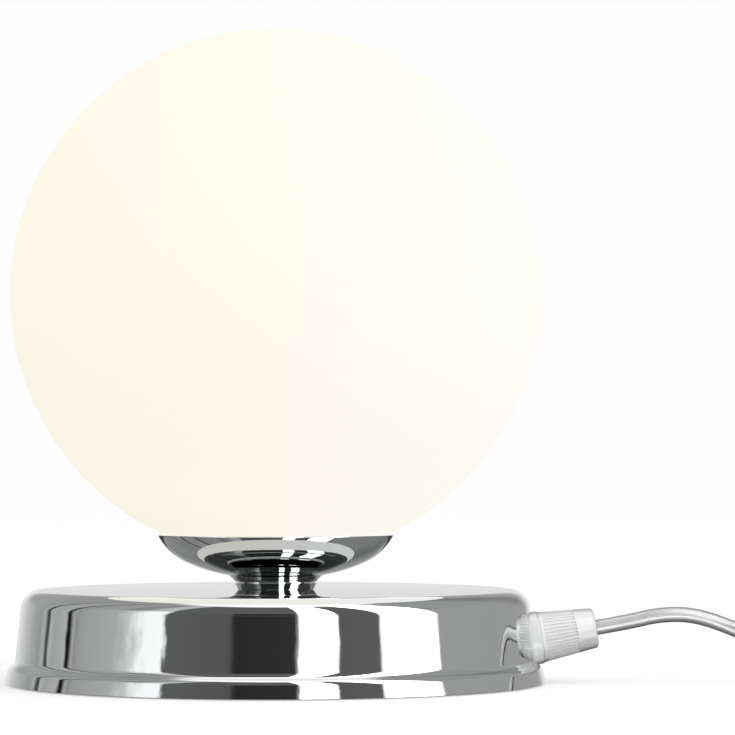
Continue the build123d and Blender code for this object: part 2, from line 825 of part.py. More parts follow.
def switch_case():
    """The whole case with its two cord nozzles, before it is parted."""
    with BuildPart() as case:
        with BuildSketch(switch_plane):
            RectangleRounded(switch_length, switch_width, switch_corner_radius)
        extrude(amount=switch_depth)
        fillet(case.edges().group_by(Axis.Z)[-1], radius=switch_top_round)
        fillet(case.edges().group_by(Axis.Z)[0], radius=switch_foot_round)
        for end, way in ((switch_in, heading), (switch_out, -heading)):
            with BuildSketch(Plane(origin=end, z_dir=way)):
                Circle(nozzle_mouth_diameter / 2)
            with BuildSketch(Plane(origin=end + way * nozzle_length, z_dir=way)):
                Circle(nozzle_root_diameter / 2)
            loft()
    return case.part


with BuildPart() as switch_lower:
    add(switch_case())
    split(bisect_by=Plane.XY.offset(switch_split_height), keep=Keep.BOTTOM)
    with BuildSketch(switch_plane):
        with Locations(*screw_spots):
            Circle(switch_screw_head / 2 + screw_clearance)
    extrude(amount=switch_screw_head_height + screw_clearance, mode=Mode.SUBTRACT)
    with BuildSketch(switch_plane):
        with Locations(*screw_spots):
            Circle(switch_screw_diameter / 2 + screw_clearance)
    extrude(amount=switch_split_height, mode=Mode.SUBTRACT)
save(switch_lower, "switch_lower")

with BuildPart() as switch_upper:
    add(switch_case())
    split(bisect_by=Plane.XY.offset(switch_split_height), keep=Keep.TOP)
    with BuildSketch(switch_plane.offset(pocket_floor)):
        Rectangle(pocket_length, pocket_width)
    extrude(amount=switch_depth, mode=Mode.SUBTRACT)
    with BuildSketch(upright_side):
        Circle(rocker_pivot_diameter / 2 + rocker_pivot_clearance)
    extrude(amount=pin_reach + rocker_gap, both=True, mode=Mode.SUBTRACT)
    with BuildSketch(switch_plane):
        with Locations(*screw_spots):
            Circle(switch_screw_diameter / 2 + screw_clearance)
    extrude(amount=switch_screw_head_height + switch_screw_length + rocker_gap, mode=Mode.SUBTRACT)
save(switch_upper, "switch_upper")

with BuildPart() as switch_screws:
    with BuildSketch(switch_plane.offset(screw_clearance)):
        with Locations(*screw_spots):
            Circle(switch_screw_head / 2)
    extrude(amount=switch_screw_head_height)
    with BuildSketch(switch_plane.offset(screw_clearance + switch_screw_head_height)):
        with Locations(*screw_spots):
            Circle(switch_screw_diameter / 2)
    extrude(amount=switch_screw_length)
save(switch_screws, "switch_screws")

tilt = math.radians(rocker_tilt)
rocker_way = heading * math.cos(tilt) + Vector(0, 0, 1) * math.sin(tilt)
rocker_side = Plane(origin=pivot, x_dir=rocker_way, z_dir=-leftward)
face_height = switch_depth - rocker_pivot_height
rocker_half = rocker_length / 2

with BuildPart() as switch_rocker:
    with BuildSketch(rocker_side):
        with BuildLine():
            crest = face_height + rocker_rise
            left_end = (-rocker_half, crest)
            right_end = (rocker_half, crest)
            ThreePointArc(left_end, (0, crest - rocker_dip), right_end)
            Polyline(
                right_end,
                (rocker_half, crest - rocker_cheek),
                (rocker_keel_width / 2, -rocker_keel_depth),
                (-rocker_keel_width / 2, -rocker_keel_depth),
                (-rocker_half, crest - rocker_cheek),
                left_end,
            )
        make_face()
    extrude(amount=rocker_width / 2, both=True)
    with BuildSketch(rocker_side):
        Circle(rocker_pivot_diameter / 2)
    extrude(amount=pin_reach, both=True)
save(switch_rocker, "switch_rocker")


# Coil. The spiral runs clockwise, in and out by turns, and climbs a layer in each half turn between.
coil_start = switch_out + heading * lead_in
coil_start = Vector(coil_start.X, coil_start.Y, coil_base_height)
half_spread = coil_turns_per_layer * coil_pitch / 2
coil_outer_radius = coil_mean_radius + half_spread
coil_inner_radius = coil_mean_radius - half_spread
coil_centre = coil_start - leftward * coil_outer_radius
entry_angle = switch_heading + 90
layer_period = coil_turns_per_layer + coil_climb_turns
coil_turns = coil_layers * layer_period - coil_climb_turns


def coil_point(turns):
    """Point on the wound flex after so many turns."""
    layer = 0
    left = turns
    while layer < coil_layers - 1 and left > layer_period:
        left -= layer_period
        layer += 1
    inward = layer % 2 == 0
    height = coil_base_height + layer * coil_pitch
    climb = max(0.0, left - coil_turns_per_layer) if layer < coil_layers - 1 else 0.0
    sunk = left - 2 * max(0.0, climb - coil_climb_turns / 2)
    radius = coil_outer_radius - sunk * coil_pitch if inward else coil_inner_radius + sunk * coil_pitch
    height += coil_pitch * climb / coil_climb_turns
    angle = math.radians(entry_angle - 360 * turns)
    across = radius * math.cos(angle)
    deep = radius * math.sin(angle)
    return Vector(coil_centre.X + across, coil_centre.Y + deep, height)


def coil_way(turns):
    """Direction of the wound flex after so many turns."""
    early = max(0.0, turns - coil_way_step)
    late = min(coil_turns, turns + coil_way_step)
    return (coil_point(late) - coil_point(early)).normalized()


quarter_count = round(coil_turns * 4)
coil_end = coil_point(coil_turns)
end_angle = math.radians(entry_angle - 360 * coil_turns)
end_heading = Vector(math.sin(end_angle), -math.cos(end_angle), 0)
coil_ways = [coil_way(index / 4) for index in range(quarter_count + 1)]
coil_ways[0] = heading
coil_ways[-1] = end_heading
straight = cord_diameter
tail_start = coil_end + end_heading * straight

with BuildPart() as cord_coil:
    with BuildLine() as winding:
        Line(coil_start - heading * straight, coil_start)
        for index in range(quarter_count):
            here = coil_point(index / 4)
            there = coil_point((index + 1) / 4)
            joint = smooth_joint(here, coil_ways[index], there, coil_ways[index + 1])
            first_arc = TangentArc(here, joint, tangent=coil_ways[index])
            TangentArc(joint, there, tangent=first_arc % 1)
        Line(coil_end, tail_start)
    coil_wire = winding.wires()[0]
    with BuildSketch(Plane(origin=coil_start - heading * straight, z_dir=heading)):
        Circle(cord_radius)
    sweep(path=coil_wire)
coil_expected = math.pi * cord_radius**2 * coil_wire.length
coil_filled = round(cord_coil.part.volume / coil_expected, 4)
print("coil length", round(coil_wire.length, 1), "volume", coil_filled)
save(cord_coil, "cord_coil")

samples = [coil_wire @ (index / coil_samples) for index in range(coil_samples + 1)]
sample_step = coil_wire.length / coil_samples
apart = math.ceil(4 * cord_diameter / sample_step)
least_gap = min(
    (samples[first] - samples[second]).length
    for first in range(len(samples))
    for second in range(first + apart, len(samples), 2)
)
print("coil least gap to itself", round(least_gap - cord_diameter, 2))

# Tie round the coil: a flat strap in the upright plane through the coil's axis.
tie_turn = math.radians(tie_angle)
tie_out = Vector(math.cos(tie_turn), math.sin(tie_turn), 0)
bundle_margin = cord_radius + tie_clearance + coil_pitch / 4
bundle_width = 2 * (half_spread + bundle_margin)
bundle_low = coil_base_height - cord_radius - tie_clearance
bundle_height = (coil_layers - 1) * coil_pitch + cord_diameter + 2 * tie_clearance
tie_middle = coil_centre + tie_out * coil_mean_radius
tie_origin = Vector(tie_middle.X, tie_middle.Y, bundle_low + bundle_height / 2)
tie_plane = Plane(origin=tie_origin, x_dir=tie_out, z_dir=tie_out.cross(Vector(0, 0, 1)))

with BuildPart() as coil_tie:
    with BuildSketch(tie_plane):
        RectangleRounded(bundle_width + 2 * tie_sheet, bundle_height + 2 * tie_sheet, tie_corner_radius)
        RectangleRounded(bundle_width, bundle_height, tie_corner_radius - tie_sheet, mode=Mode.SUBTRACT)
    extrude(amount=tie_width / 2, both=True)
save(coil_tie, "coil_tie")


# Short stretches before and after the coil.
lead_start = switch_out
lead_end = coil_start - heading * straight
lead_run = (lead_in - straight) / 3
lead_points = [lead_start, lead_start + heading * lead_run, lead_end - heading * lead_run, lead_end]
lead_length = cord_stretch("cord_to_coil", lead_points, route_radii(lead_points))

plug_axis_height = plug_thickness / 2
relief_start = tail_start + end_heading * tail_length
relief_start = Vector(relief_start.X, relief_start.Y, plug_axis_height)
tail_run = end_heading * tail_level_run
tail_route = [tail_start, tail_start + tail_run, relief_start - tail_run, relief_start]
tail_length_made = cord_stretch("cord_to_plug", tail_route, route_radii(tail_route))
total_length = first_length + lead_length + coil_wire.length + tail_length_made
print("flex outside the lamp", round(total_length, 1), "inside", round(inner_length, 1))


# Plug: a tapered strain relief, a flat six-sided body and two round pins.
plug_back = relief_start + end_heading * relief_length
plug_face = plug_back + end_heading * plug_length
plug_plane = Plane(origin=(plug_back.X, plug_back.Y, 0), x_dir=end_heading, z_dir=(0, 0, 1))

with BuildPart() as plug_relief:
    with BuildSketch(Plane(origin=relief_start, z_dir=end_heading)):
        Circle(relief_mouth_diameter / 2)
    with BuildSketch(Plane(origin=plug_back, z_dir=end_heading)):
        Circle(relief_root_diameter / 2)
    loft()
save(plug_relief, "plug_relief")

with BuildPart() as plug_body:
    with BuildSketch(plug_plane):
        with BuildLine():
            Polyline(
                (0, -plug_tail_width / 2),
                (plug_widest_from, -plug_width / 2),
                (plug_widest_to, -plug_width / 2),
                (plug_length, -plug_face_width / 2),
                (plug_length, plug_face_width / 2),
                (plug_widest_to, plug_width / 2),
                (plug_widest_from, plug_width / 2),
                (0, plug_tail_width / 2),
                close=True,
            )
        outline = make_face()
        fillet(outline.vertices().sort_by(Axis.X)[2:], radius=plug_corner_radius)
    extrude(amount=plug_thickness)
    fillet(plug_body.edges().group_by(Axis.Z)[-1], radius=plug_edge_round)
    fillet(plug_body.edges().group_by(Axis.Z)[0], radius=plug_edge_round)
save(plug_body, "plug_body")

with BuildPart() as plug_pins:
    with BuildSketch(Plane(origin=plug_face, x_dir=leftward, z_dir=end_heading)):
        with Locations((-pin_spacing / 2, 0), (pin_spacing / 2, 0)):
            Circle(pin_diameter / 2)
    extrude(amount=pin_length)
    fillet(plug_pins.edges().group_by(Axis(plug_face, end_heading))[-1], radius=pin_tip_round)
save(plug_pins, "plug_pins")
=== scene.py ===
import math

import bmesh
import bpy
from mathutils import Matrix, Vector


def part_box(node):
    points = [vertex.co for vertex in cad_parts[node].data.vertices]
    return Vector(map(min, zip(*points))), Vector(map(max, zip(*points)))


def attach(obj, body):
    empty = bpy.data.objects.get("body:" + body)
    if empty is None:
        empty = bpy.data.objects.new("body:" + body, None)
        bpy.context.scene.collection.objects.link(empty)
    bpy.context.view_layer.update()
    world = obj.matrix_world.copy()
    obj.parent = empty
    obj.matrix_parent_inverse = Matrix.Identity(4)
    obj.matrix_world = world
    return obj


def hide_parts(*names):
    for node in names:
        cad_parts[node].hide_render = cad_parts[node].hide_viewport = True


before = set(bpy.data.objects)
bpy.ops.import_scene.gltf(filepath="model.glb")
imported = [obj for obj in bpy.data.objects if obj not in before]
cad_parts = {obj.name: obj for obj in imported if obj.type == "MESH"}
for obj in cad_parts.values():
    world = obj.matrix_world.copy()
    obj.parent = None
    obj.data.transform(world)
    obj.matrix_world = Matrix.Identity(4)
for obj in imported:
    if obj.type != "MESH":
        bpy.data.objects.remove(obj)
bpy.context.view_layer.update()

# Drum base. A shallow drum spun from thin steel sheet and chromed to a mirror.
# Its wall leans in a little, its top edge is rolled, and a stepped foot lip runs round the bottom.
FOOT_RADIUS = 0.0710
FOOT_LIFT = 0.0004
LIP_TOP = (0.0701079, 0.0045971)
LIP_EASE = 0.0009172
WALL_FOOT = (0.0683987, 0.0055839)
WALL_FOOT_EASE = 0.0010564
WALL_TOP_RADIUS = 0.0665006
SHOULDER_EASE = 0.0042990
DRUM_TOP = 0.0246
DRUM_SHEET = 0.0008
STUD_HOLE_RADIUS = 0.0051


def outline(corners):
    """A mesh that holds only the line through some corners, each a radius and a height."""
    shape = bmesh.new()
    line = [shape.verts.new((radius, 0.0, height)) for radius, height in corners]
    for first, second in zip(line, line[1:]):
        shape.edges.new((first, second))
    return shape, line


def round_corner(shape, corner, offset, segments):
    """Round one corner of a line."""
    bmesh.ops.bevel(
        shape,
        geom=[corner],
        offset=offset,
        offset_type="OFFSET",
        segments=segments,
        profile=0.5,
        affect="VERTICES",
        material=-1,
    )


def turn_on_axis(shape, steps):
    """Turn the line of a mesh once round the lamp's axis."""
    bmesh.ops.spin(
        shape,
        geom=shape.verts[:] + shape.edges[:],
        cent=(0.0, 0.0, 0.0),
        axis=(0.0, 0.0, 1.0),
        angle=2 * math.pi,
        steps=steps,
        use_merge=True,
    )
    bmesh.ops.remove_doubles(shape, verts=shape.verts[:], dist=1e-6)
    bmesh.ops.dissolve_degenerate(shape, edges=shape.edges[:], dist=1e-7)
    bmesh.ops.recalc_face_normals(shape, faces=shape.faces[:])


drum, drum_line = outline(
    [
        (FOOT_RADIUS, FOOT_LIFT),
        LIP_TOP,
        WALL_FOOT,
        (WALL_TOP_RADIUS, DRUM_TOP),
        (STUD_HOLE_RADIUS, DRUM_TOP),
    ]
)
round_corner(drum, drum_line[1], LIP_EASE, segments=10)
round_corner(drum, drum_line[2], WALL_FOOT_EASE, segments=12)
round_corner(drum, drum_line[3], SHOULDER_EASE, segments=20)
turn_on_axis(drum, steps=256)
bmesh.ops.solidify(drum, geom=drum.faces[:], thickness=DRUM_SHEET)


def new_finish(name):
    """A material with its node tree and its shader."""
    material = bpy.data.materials.new(name)
    material.use_nodes = True
    tree = material.node_tree
    return material, tree, tree.nodes["Principled BSDF"]


def new_group(name, inputs, outputs):
    """An empty shader node group with named sockets."""
    group = bpy.data.node_groups.new(name, "ShaderNodeTree")
    for socket, kind, value in inputs:
        made = group.interface.new_socket(socket, in_out="INPUT", socket_type=kind)
        made.default_value = value
    for socket, kind in outputs:
        group.interface.new_socket(socket, in_out="OUTPUT", socket_type=kind)
    return group, group.nodes.new("NodeGroupInput"), group.nodes.new("NodeGroupOutput")


def feed(tree, node, sockets):
    """Set sockets of a node to numbers and colours, or join them to other nodes."""
    for socket, value in sockets.items():
        if isinstance(value, bpy.types.NodeSocket):
            tree.links.new(value, node.inputs[socket])
        else:
            node.inputs[socket].default_value = value


def add_node(tree, kind, sockets):
    """A new node with some of its sockets fed."""
    node = tree.nodes.new(kind)
    feed(tree, node, sockets)
    return node


def object_place(tree):
    """The place of a point on its piece."""
    return tree.nodes.new("ShaderNodeTexCoord").outputs["Object"]


def cloud(tree, scale, detail, roughness=0.5):
    """Cloudy noise that stays with the piece."""
    look = {"Scale": scale, "Detail": detail, "Roughness": roughness}
    noise = add_node(tree, "ShaderNodeTexNoise", {"Vector": object_place(tree), **look})
    return noise.outputs["Fac"]


def ramp(tree, source, low, high, at_low=0.0, at_high=1.0):
    """A value that runs between two ends as another value runs from low to high."""
    ends = {"From Min": low, "From Max": high, "To Min": at_low, "To Max": at_high}
    mapped = add_node(tree, "ShaderNodeMapRange", {"Value": source, **ends})
    return mapped.outputs["Result"]


def figure(tree, operation, *terms):
    """One step of arithmetic on values and numbers."""
    step = tree.nodes.new("ShaderNodeMath")
    step.operation = operation
    feed(tree, step, dict(enumerate(terms)))
    return step.outputs["Value"]


def emboss(tree, shader, height, strength, distance):
    """Let a height show as relief on a finish."""
    look = {"Height": height, "Strength": strength, "Distance": distance}
    relief = add_node(tree, "ShaderNodeBump", look)
    feed(tree, shader, {"Normal": relief.outputs["Normal"]})
    return relief


# Fine handling marks: faint cloudy smears with a finer grain in them, as roughness and as height.
HANDLING_DEPTH = 0.00005

handling, handling_in, handling_out = new_group(
    "handling_marks",
    [
        ("Scale", "NodeSocketFloat", 60.0),
        ("Least", "NodeSocketFloat", 0.03),
        ("Most", "NodeSocketFloat", 0.10),
    ],
    [("Roughness", "NodeSocketFloat"), ("Height", "NodeSocketFloat")],
)
smear = cloud(handling, scale=handling_in.outputs["Scale"], detail=6.0, roughness=0.62)
smear = ramp(
    handling, smear, 0.35, 0.75, handling_in.outputs["Least"], handling_in.outputs["Most"]
)
grain = cloud(handling, scale=2600.0, detail=2.0)
feed(handling, handling_out, {"Roughness": smear, "Height": grain})


def add_handling(tree, shader, scale, least, most, bump):
    """Put the handling marks into a finish, between its least and its most roughness."""
    marks = tree.nodes.new("ShaderNodeGroup")
    marks.node_tree = handling
    feed(tree, marks, {"Scale": scale, "Least": least, "Most": most})
    feed(tree, shader, {"Roughness": marks.outputs["Roughness"]})
    return emboss(tree, shader, marks.outputs["Height"], bump, HANDLING_DEPTH)


chrome, chrome_tree, chrome_shader = new_finish("mirror_chrome")
feed(chrome_tree, chrome_shader, {"Base Color": (0.645, 0.655, 0.66, 1.0), "Metallic": 1.0})
chrome_relief = add_handling(
    chrome_tree, chrome_shader, scale=45.0, least=0.012, most=0.05, bump=0.02
)

# Spinning leaves the sheet of the wall a little wavy round the drum, most of all on the left.
# The wave only swings the surface round the drum, so that it shows as upright streaks.
RIPPLE_SCALE = 420.0
RIPPLE_STRETCH = (1.0, 1.0, 0.35)
RIPPLE_EVERYWHERE = 0.02
RIPPLE_ON_FLANK = 0.09
RIPPLE_HEIGHTS = (0.0235, 0.0190)
FLANK_START = (-0.024, -0.031)
FLANK_END = (-0.050, -0.044)

chrome_place = object_place(chrome_tree)
chrome_spot = add_node(chrome_tree, "ShaderNodeSeparateXYZ", {"Vector": chrome_place})
stretch = add_node(
    chrome_tree, "ShaderNodeMapping", {"Vector": chrome_place, "Scale": RIPPLE_STRETCH}
)
wave = add_node(
    chrome_tree,
    "ShaderNodeTexNoise",
    {"Vector": stretch.outputs["Vector"], "Scale": RIPPLE_SCALE, "Detail": 3.0},
)
on_wall = ramp(chrome_tree, chrome_spot.outputs["Z"], *RIPPLE_HEIGHTS)
flank_start = ramp(chrome_tree, chrome_spot.outputs["X"], *FLANK_START, 0.0, RIPPLE_ON_FLANK)
flank_end = ramp(chrome_tree, chrome_spot.outputs["X"], *FLANK_END)
ripple = figure(chrome_tree, "MULTIPLY_ADD", flank_start, flank_end, RIPPLE_EVERYWHERE)
ripple = figure(chrome_tree, "MULTIPLY", ripple, on_wall)
swing = figure(chrome_tree, "SUBTRACT", wave.outputs["Fac"], 0.5)
swing = figure(chrome_tree, "MULTIPLY", swing, ripple)
facing = chrome_tree.nodes.new("ShaderNodeNewGeometry").outputs["Normal"]
sideways = chrome_tree.nodes.new("ShaderNodeVectorMath")
sideways.operation = "CROSS_PRODUCT"
feed(chrome_tree, sideways, {0: (0.0, 0.0, 1.0), 1: facing})
swung = chrome_tree.nodes.new("ShaderNodeVectorMath")
swung.operation = "SCALE"
feed(chrome_tree, swung, {0: sideways.outputs["Vector"], "Scale": swing})
rippled = add_node(chrome_tree, "ShaderNodeVectorMath", {0: facing, 1: swung.outputs["Vector"]})
feed(chrome_tree, chrome_relief, {"Normal": rippled.outputs["Vector"]})


def set_piece(shape, name, material, body, nodes, crease=35.0):
    """Make an object of a mesh, smooth it up to a crease angle, and let it stand for CAD nodes."""
    for face in shape.faces:
        face.smooth = True
    for edge in shape.edges:
        if len(edge.link_faces) == 2:
            edge.smooth = edge.calc_face_angle(0.0) < math.radians(crease)
    mesh = bpy.data.meshes.new(name)
    shape.to_mesh(mesh)
    shape.free()
    mesh.materials.append(material)
    piece = bpy.data.objects.new(name, mesh)
    bpy.context.collection.objects.link(piece)
    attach(piece, body)
    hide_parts(*nodes)
    return piece


set_piece(drum, "drum_base", chrome, "base", ["base_shell"])

# Bottom plate, posts, clamp parts and spring. Zinc-plated steel with a dull, slightly cloudy skin.
# They stay as they are made in the solids, and only the finish is dressed.
ZINC_SHADE = (0.47, 0.48, 0.50)
ZINC_BLOOM = (0.72, 0.72, 0.71)


def two_tone(tree, source, dark, pale, dark_at=0.0, pale_at=1.0):
    """A colour that runs from a dark tint to a pale one as a value rises."""
    tint = add_node(tree, "ShaderNodeValToRGB", {"Fac": source})
    for stop, color, place in zip(tint.color_ramp.elements, (dark, pale), (dark_at, pale_at)):
        stop.color = (*color, 1.0)
        stop.position = place
    return tint.outputs["Color"]


def dress_nodes(material, *nodes):
    """Give a finish to CAD nodes that stay in view."""
    for node in nodes:
        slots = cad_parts[node].data.materials
        slots.clear()
        slots.append(material)


plated, plated_tree, plated_shader = new_finish("zinc_plate")
plated_cloud = cloud(plated_tree, scale=220.0, detail=5.0)
plated_tint = two_tone(plated_tree, plated_cloud, ZINC_SHADE, ZINC_BLOOM)
feed(plated_tree, plated_shader, {"Base Color": plated_tint, "Metallic": 1.0})
add_handling(plated_tree, plated_shader, scale=120.0, least=0.22, most=0.42, bump=0.1)
dress_nodes(plated, "base_plate", "plate_posts", "plate_screws")
dress_nodes(plated, "threaded_tube", "tube_washer", "tube_nut", "neck_spring")

# Felt pad under the plate. A disc cut from dark wool felt, with three holes for the screw heads.
# Its edge is soft, and its face is matted with short fibres.
PAD_RADIUS = 0.06533
PAD_THICKNESS = 0.0020
PAD_HOLE_RADIUS = 0.0050
PAD_HOLE_CIRCLE = 0.0460
PAD_HOLE_TURNS = (60, 180, 300)
FIBRE_DEPTH = 0.0004
FELT_BLACK = (0.006, 0.006, 0.007)
FELT_GREY = (0.045, 0.045, 0.048)

felt, felt_tree, felt_shader = new_finish("wool_felt")
fibre = cloud(felt_tree, scale=900.0, detail=8.0, roughness=0.7)
felt_tint = two_tone(felt_tree, fibre, FELT_BLACK, FELT_GREY, dark_at=0.3, pale_at=0.75)
feed(felt_tree, felt_shader, {"Base Color": felt_tint, "Roughness": 0.95, "Sheen Weight": 0.35})
emboss(felt_tree, felt_shader, fibre, strength=0.8, distance=FIBRE_DEPTH)


def only(kind, items):
    """The items of one kind, such as corners, among what an operator gives back."""
    return [item for item in items if isinstance(item, kind)]


pad = bmesh.new()
bmesh.ops.create_circle(pad, cap_ends=False, segments=128, radius=PAD_RADIUS)
for hole_turn in PAD_HOLE_TURNS:
    hole = bmesh.ops.create_circle(pad, cap_ends=False, segments=32, radius=PAD_HOLE_RADIUS)
    turn = math.radians(hole_turn)
    hole_place = Vector((math.cos(turn), math.sin(turn), 0.0)) * PAD_HOLE_CIRCLE
    bmesh.ops.translate(pad, verts=hole["verts"], vec=hole_place)
bmesh.ops.triangle_fill(pad, use_beauty=True, use_dissolve=False, edges=pad.edges[:])
pad_top = bmesh.ops.extrude_face_region(pad, geom=pad.faces[:])["geom"]
bmesh.ops.translate(pad, verts=only(bmesh.types.BMVert, pad_top), vec=(0.0, 0.0, PAD_THICKNESS))
bmesh.ops.recalc_face_normals(pad, faces=pad.faces[:])
set_piece(pad, "felt_disc", felt, "base", ["felt_pad"])

# Turned collar between the drum and the cup. A small chromed ring with a fine groove and a flare.
# It is clamped by the threaded tube that runs through it.
COLLAR_FOOT_RADIUS = 0.0100
COLLAR_RADIUS = 0.0109
COLLAR_TOP = 0.0285
GROOVE_RADIUS = 0.0104
GROOVE_LOW = 0.0264
GROOVE_HIGH = 0.0268
FLARE_CENTRE = Vector((0.0139815, 0.0, 0.0251406))
FLARE_SWEEP = -45.41


def arc_from(shape, corner, centre, angle, steps):
    """Draw an arc from a corner, turning about a centre, and return the corner at its end."""
    swept = bmesh.ops.spin(
        shape,
        geom=[corner],
        cent=centre,
        axis=(0.0, -1.0, 0.0),
        angle=math.radians(angle),
        steps=steps,
        use_merge=False,
    )
    return only(bmesh.types.BMVert, swept["geom_last"])[0]


collar, collar_line = outline(
    [
        (STUD_HOLE_RADIUS, COLLAR_TOP),
        (STUD_HOLE_RADIUS, DRUM_TOP),
        (COLLAR_FOOT_RADIUS, DRUM_TOP),
        (COLLAR_RADIUS, GROOVE_LOW),
        (GROOVE_RADIUS, GROOVE_LOW),
        (GROOVE_RADIUS, GROOVE_HIGH),
        (COLLAR_RADIUS, GROOVE_HIGH),
    ]
)
flare_head = arc_from(collar, collar_line[-1], FLARE_CENTRE, FLARE_SWEEP, steps=12)
collar.edges.new((flare_head, collar_line[0]))
turn_on_axis(collar, steps=128)
set_piece(collar, "turned_collar", chrome, "base", ["neck_collar"])

# Gallery cup. A shallow bowl spun from brass sheet and chromed, with a rounded rim.
# Its wall is two arcs that meet smoothly, and the glass stands inside it.
CUP_FOOT_RADIUS = 0.0130
CUP_FLOOR_INSIDE = 0.029485
CUP_RIM = 0.0391
CUP_RIM_INSIDE_RADIUS = 0.030057
CUP_RIM_EASE = 0.0003
BELLY_CENTRE = Vector((0.0056618, 0.0, 0.0701171))
BELLY_SWEEP = 15.02
FLANK_CENTRE = Vector((0.0164883, 0.0, 0.0469224))
FLANK_SWEEP = 36.98
FLANK_SWEEP_INSIDE = 35.02


def line_to(shape, corner, radius, height):
    """Draw a straight line from a corner and return its other end."""
    end = shape.verts.new((radius, 0.0, height))
    shape.edges.new((corner, end))
    return end


cup = bmesh.new()
cup_foot = cup.verts.new((CUP_FOOT_RADIUS, 0.0, COLLAR_TOP))
cup_corner = arc_from(cup, cup_foot, BELLY_CENTRE, BELLY_SWEEP, steps=16)
rim_outside = arc_from(cup, cup_corner, FLANK_CENTRE, FLANK_SWEEP, steps=32)
rim_inside = line_to(cup, rim_outside, CUP_RIM_INSIDE_RADIUS, CUP_RIM)
cup_corner = arc_from(cup, rim_inside, FLANK_CENTRE, -FLANK_SWEEP_INSIDE, steps=24)
cup_corner = arc_from(cup, cup_corner, BELLY_CENTRE, -BELLY_SWEEP, steps=12)
cup_corner = line_to(cup, cup_corner, STUD_HOLE_RADIUS, CUP_FLOOR_INSIDE)
cup_corner = line_to(cup, cup_corner, STUD_HOLE_RADIUS, COLLAR_TOP)
cup.edges.new((cup_corner, cup_foot))
round_corner(cup, rim_outside, CUP_RIM_EASE, segments=4)
round_corner(cup, rim_inside, CUP_RIM_EASE, segments=4)
turn_on_axis(cup, steps=192)
set_piece(cup, "gallery_bowl", chrome, "base", ["gallery_cup"])

# Lampholder and neck ring. Pale parts of heat-proof plastic, and a soft ring for the glass.
# A small-screw holder sits on the tube, with a brass shell and a sprung centre contact.
MOULD_DEPTH = 0.0001


def dim(tree, color, value):
    """A colour made lighter or darker by a value."""
    tone = add_node(tree, "ShaderNodeHueSaturation", {"Color": color, "Value": value})
    return tone.outputs["Color"]


# Moulded skin: a slight tint that wanders, and a very fine pebble.
moulded, moulded_in, moulded_out = new_group(
    "moulded_skin",
    [
        ("Color", "NodeSocketColor", (0.8, 0.8, 0.8, 1.0)),
        ("Pebble", "NodeSocketFloat", 1500.0),
    ],
    [("Color", "NodeSocketColor"), ("Height", "NodeSocketFloat")],
)
skin_value = ramp(moulded, cloud(moulded, scale=70.0, detail=4.0), 0.0, 1.0, 0.93, 1.05)
skin_color = dim(moulded, moulded_in.outputs["Color"], skin_value)
skin_pebble = cloud(moulded, scale=moulded_in.outputs["Pebble"], detail=3.0)
feed(moulded, moulded_out, {"Color": skin_color, "Height": skin_pebble})


def plastic(name, color, roughness, pebble, bump):
    """A moulded plastic or rubber finish."""
    material, tree, shader = new_finish(name)
    skin = tree.nodes.new("ShaderNodeGroup")
    skin.node_tree = moulded
    feed(tree, skin, {"Color": (*color, 1.0), "Pebble": pebble})
    feed(tree, shader, {"Base Color": skin.outputs["Color"], "Roughness": roughness})
    emboss(tree, shader, skin.outputs["Height"], bump, MOULD_DEPTH)
    return material


def contact_metal(name, color, scale, least, most):
    """A bare metal finish for parts that carry the current."""
    material, tree, shader = new_finish(name)
    feed(tree, shader, {"Base Color": (*color, 1.0), "Metallic": 1.0})
    add_handling(tree, shader, scale, least, most, bump=0.05)
    return material


def merged_copy(node):
    """A copy of a CAD node's mesh with its triangles joined."""
    shape = bmesh.new()
    shape.from_mesh(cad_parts[node].data)
    bmesh.ops.remove_doubles(shape, verts=shape.verts[:], dist=1e-6)
    return shape


def smooth_copy(node, name, material, body, crease=35.0):
    """A smoothed copy of a CAD node, standing for it."""
    return set_piece(merged_copy(node), name, material, body, [node], crease)


holder_plastic = plastic(
    "holder_plastic", (0.80, 0.79, 0.75), roughness=0.42, pebble=1400.0, bump=0.15
)
soft_ring = plastic("silicone_ring", (0.72, 0.71, 0.67), roughness=0.6, pebble=900.0, bump=0.2)
brass = contact_metal("contact_brass", (0.78, 0.57, 0.25), scale=150.0, least=0.16, most=0.34)
smooth_copy("holder_base", "holder_lower_cap", holder_plastic, "base")
smooth_copy("holder_sleeve", "holder_outer_sleeve", holder_plastic, "base")
smooth_copy("neck_ring", "glass_seat_ring", soft_ring, "base")
smooth_copy("screw_shell", "holder_screw_shell", brass, "base")
dress_nodes(holder_plastic, "contact_block")
dress_nodes(brass, "centre_contact")

# Bulb. A small round bulb with a frosted dome, a white body and a nickel screw cap.
# It hides inside the glass, and lifts out of the holder once it is unscrewed.
CAP_RADIUS = 0.0069
CAP_SKIRT = 0.0040
THREAD_PITCH = 0.00282
THREAD_DEPTH = 0.0007
THREAD_STEPS = 72
WAVE_POINTS = 12
BULB_CREASE = 50.0

frosted = plastic("frosted_dome", (0.93, 0.92, 0.88), roughness=0.5, pebble=2200.0, bump=0.08)
bulb_white = plastic(
    "bulb_body_white", (0.86, 0.86, 0.86), roughness=0.35, pebble=1800.0, bump=0.08
)
glazed = plastic("glazed_insulator", (0.02, 0.02, 0.022), roughness=0.18, pebble=1200.0, bump=0.05)
smooth_copy("bulb_dome", "bulb_frosted_dome", frosted, "bulb", BULB_CREASE)
smooth_copy("bulb_body", "bulb_flared_body", bulb_white, "bulb", BULB_CREASE)

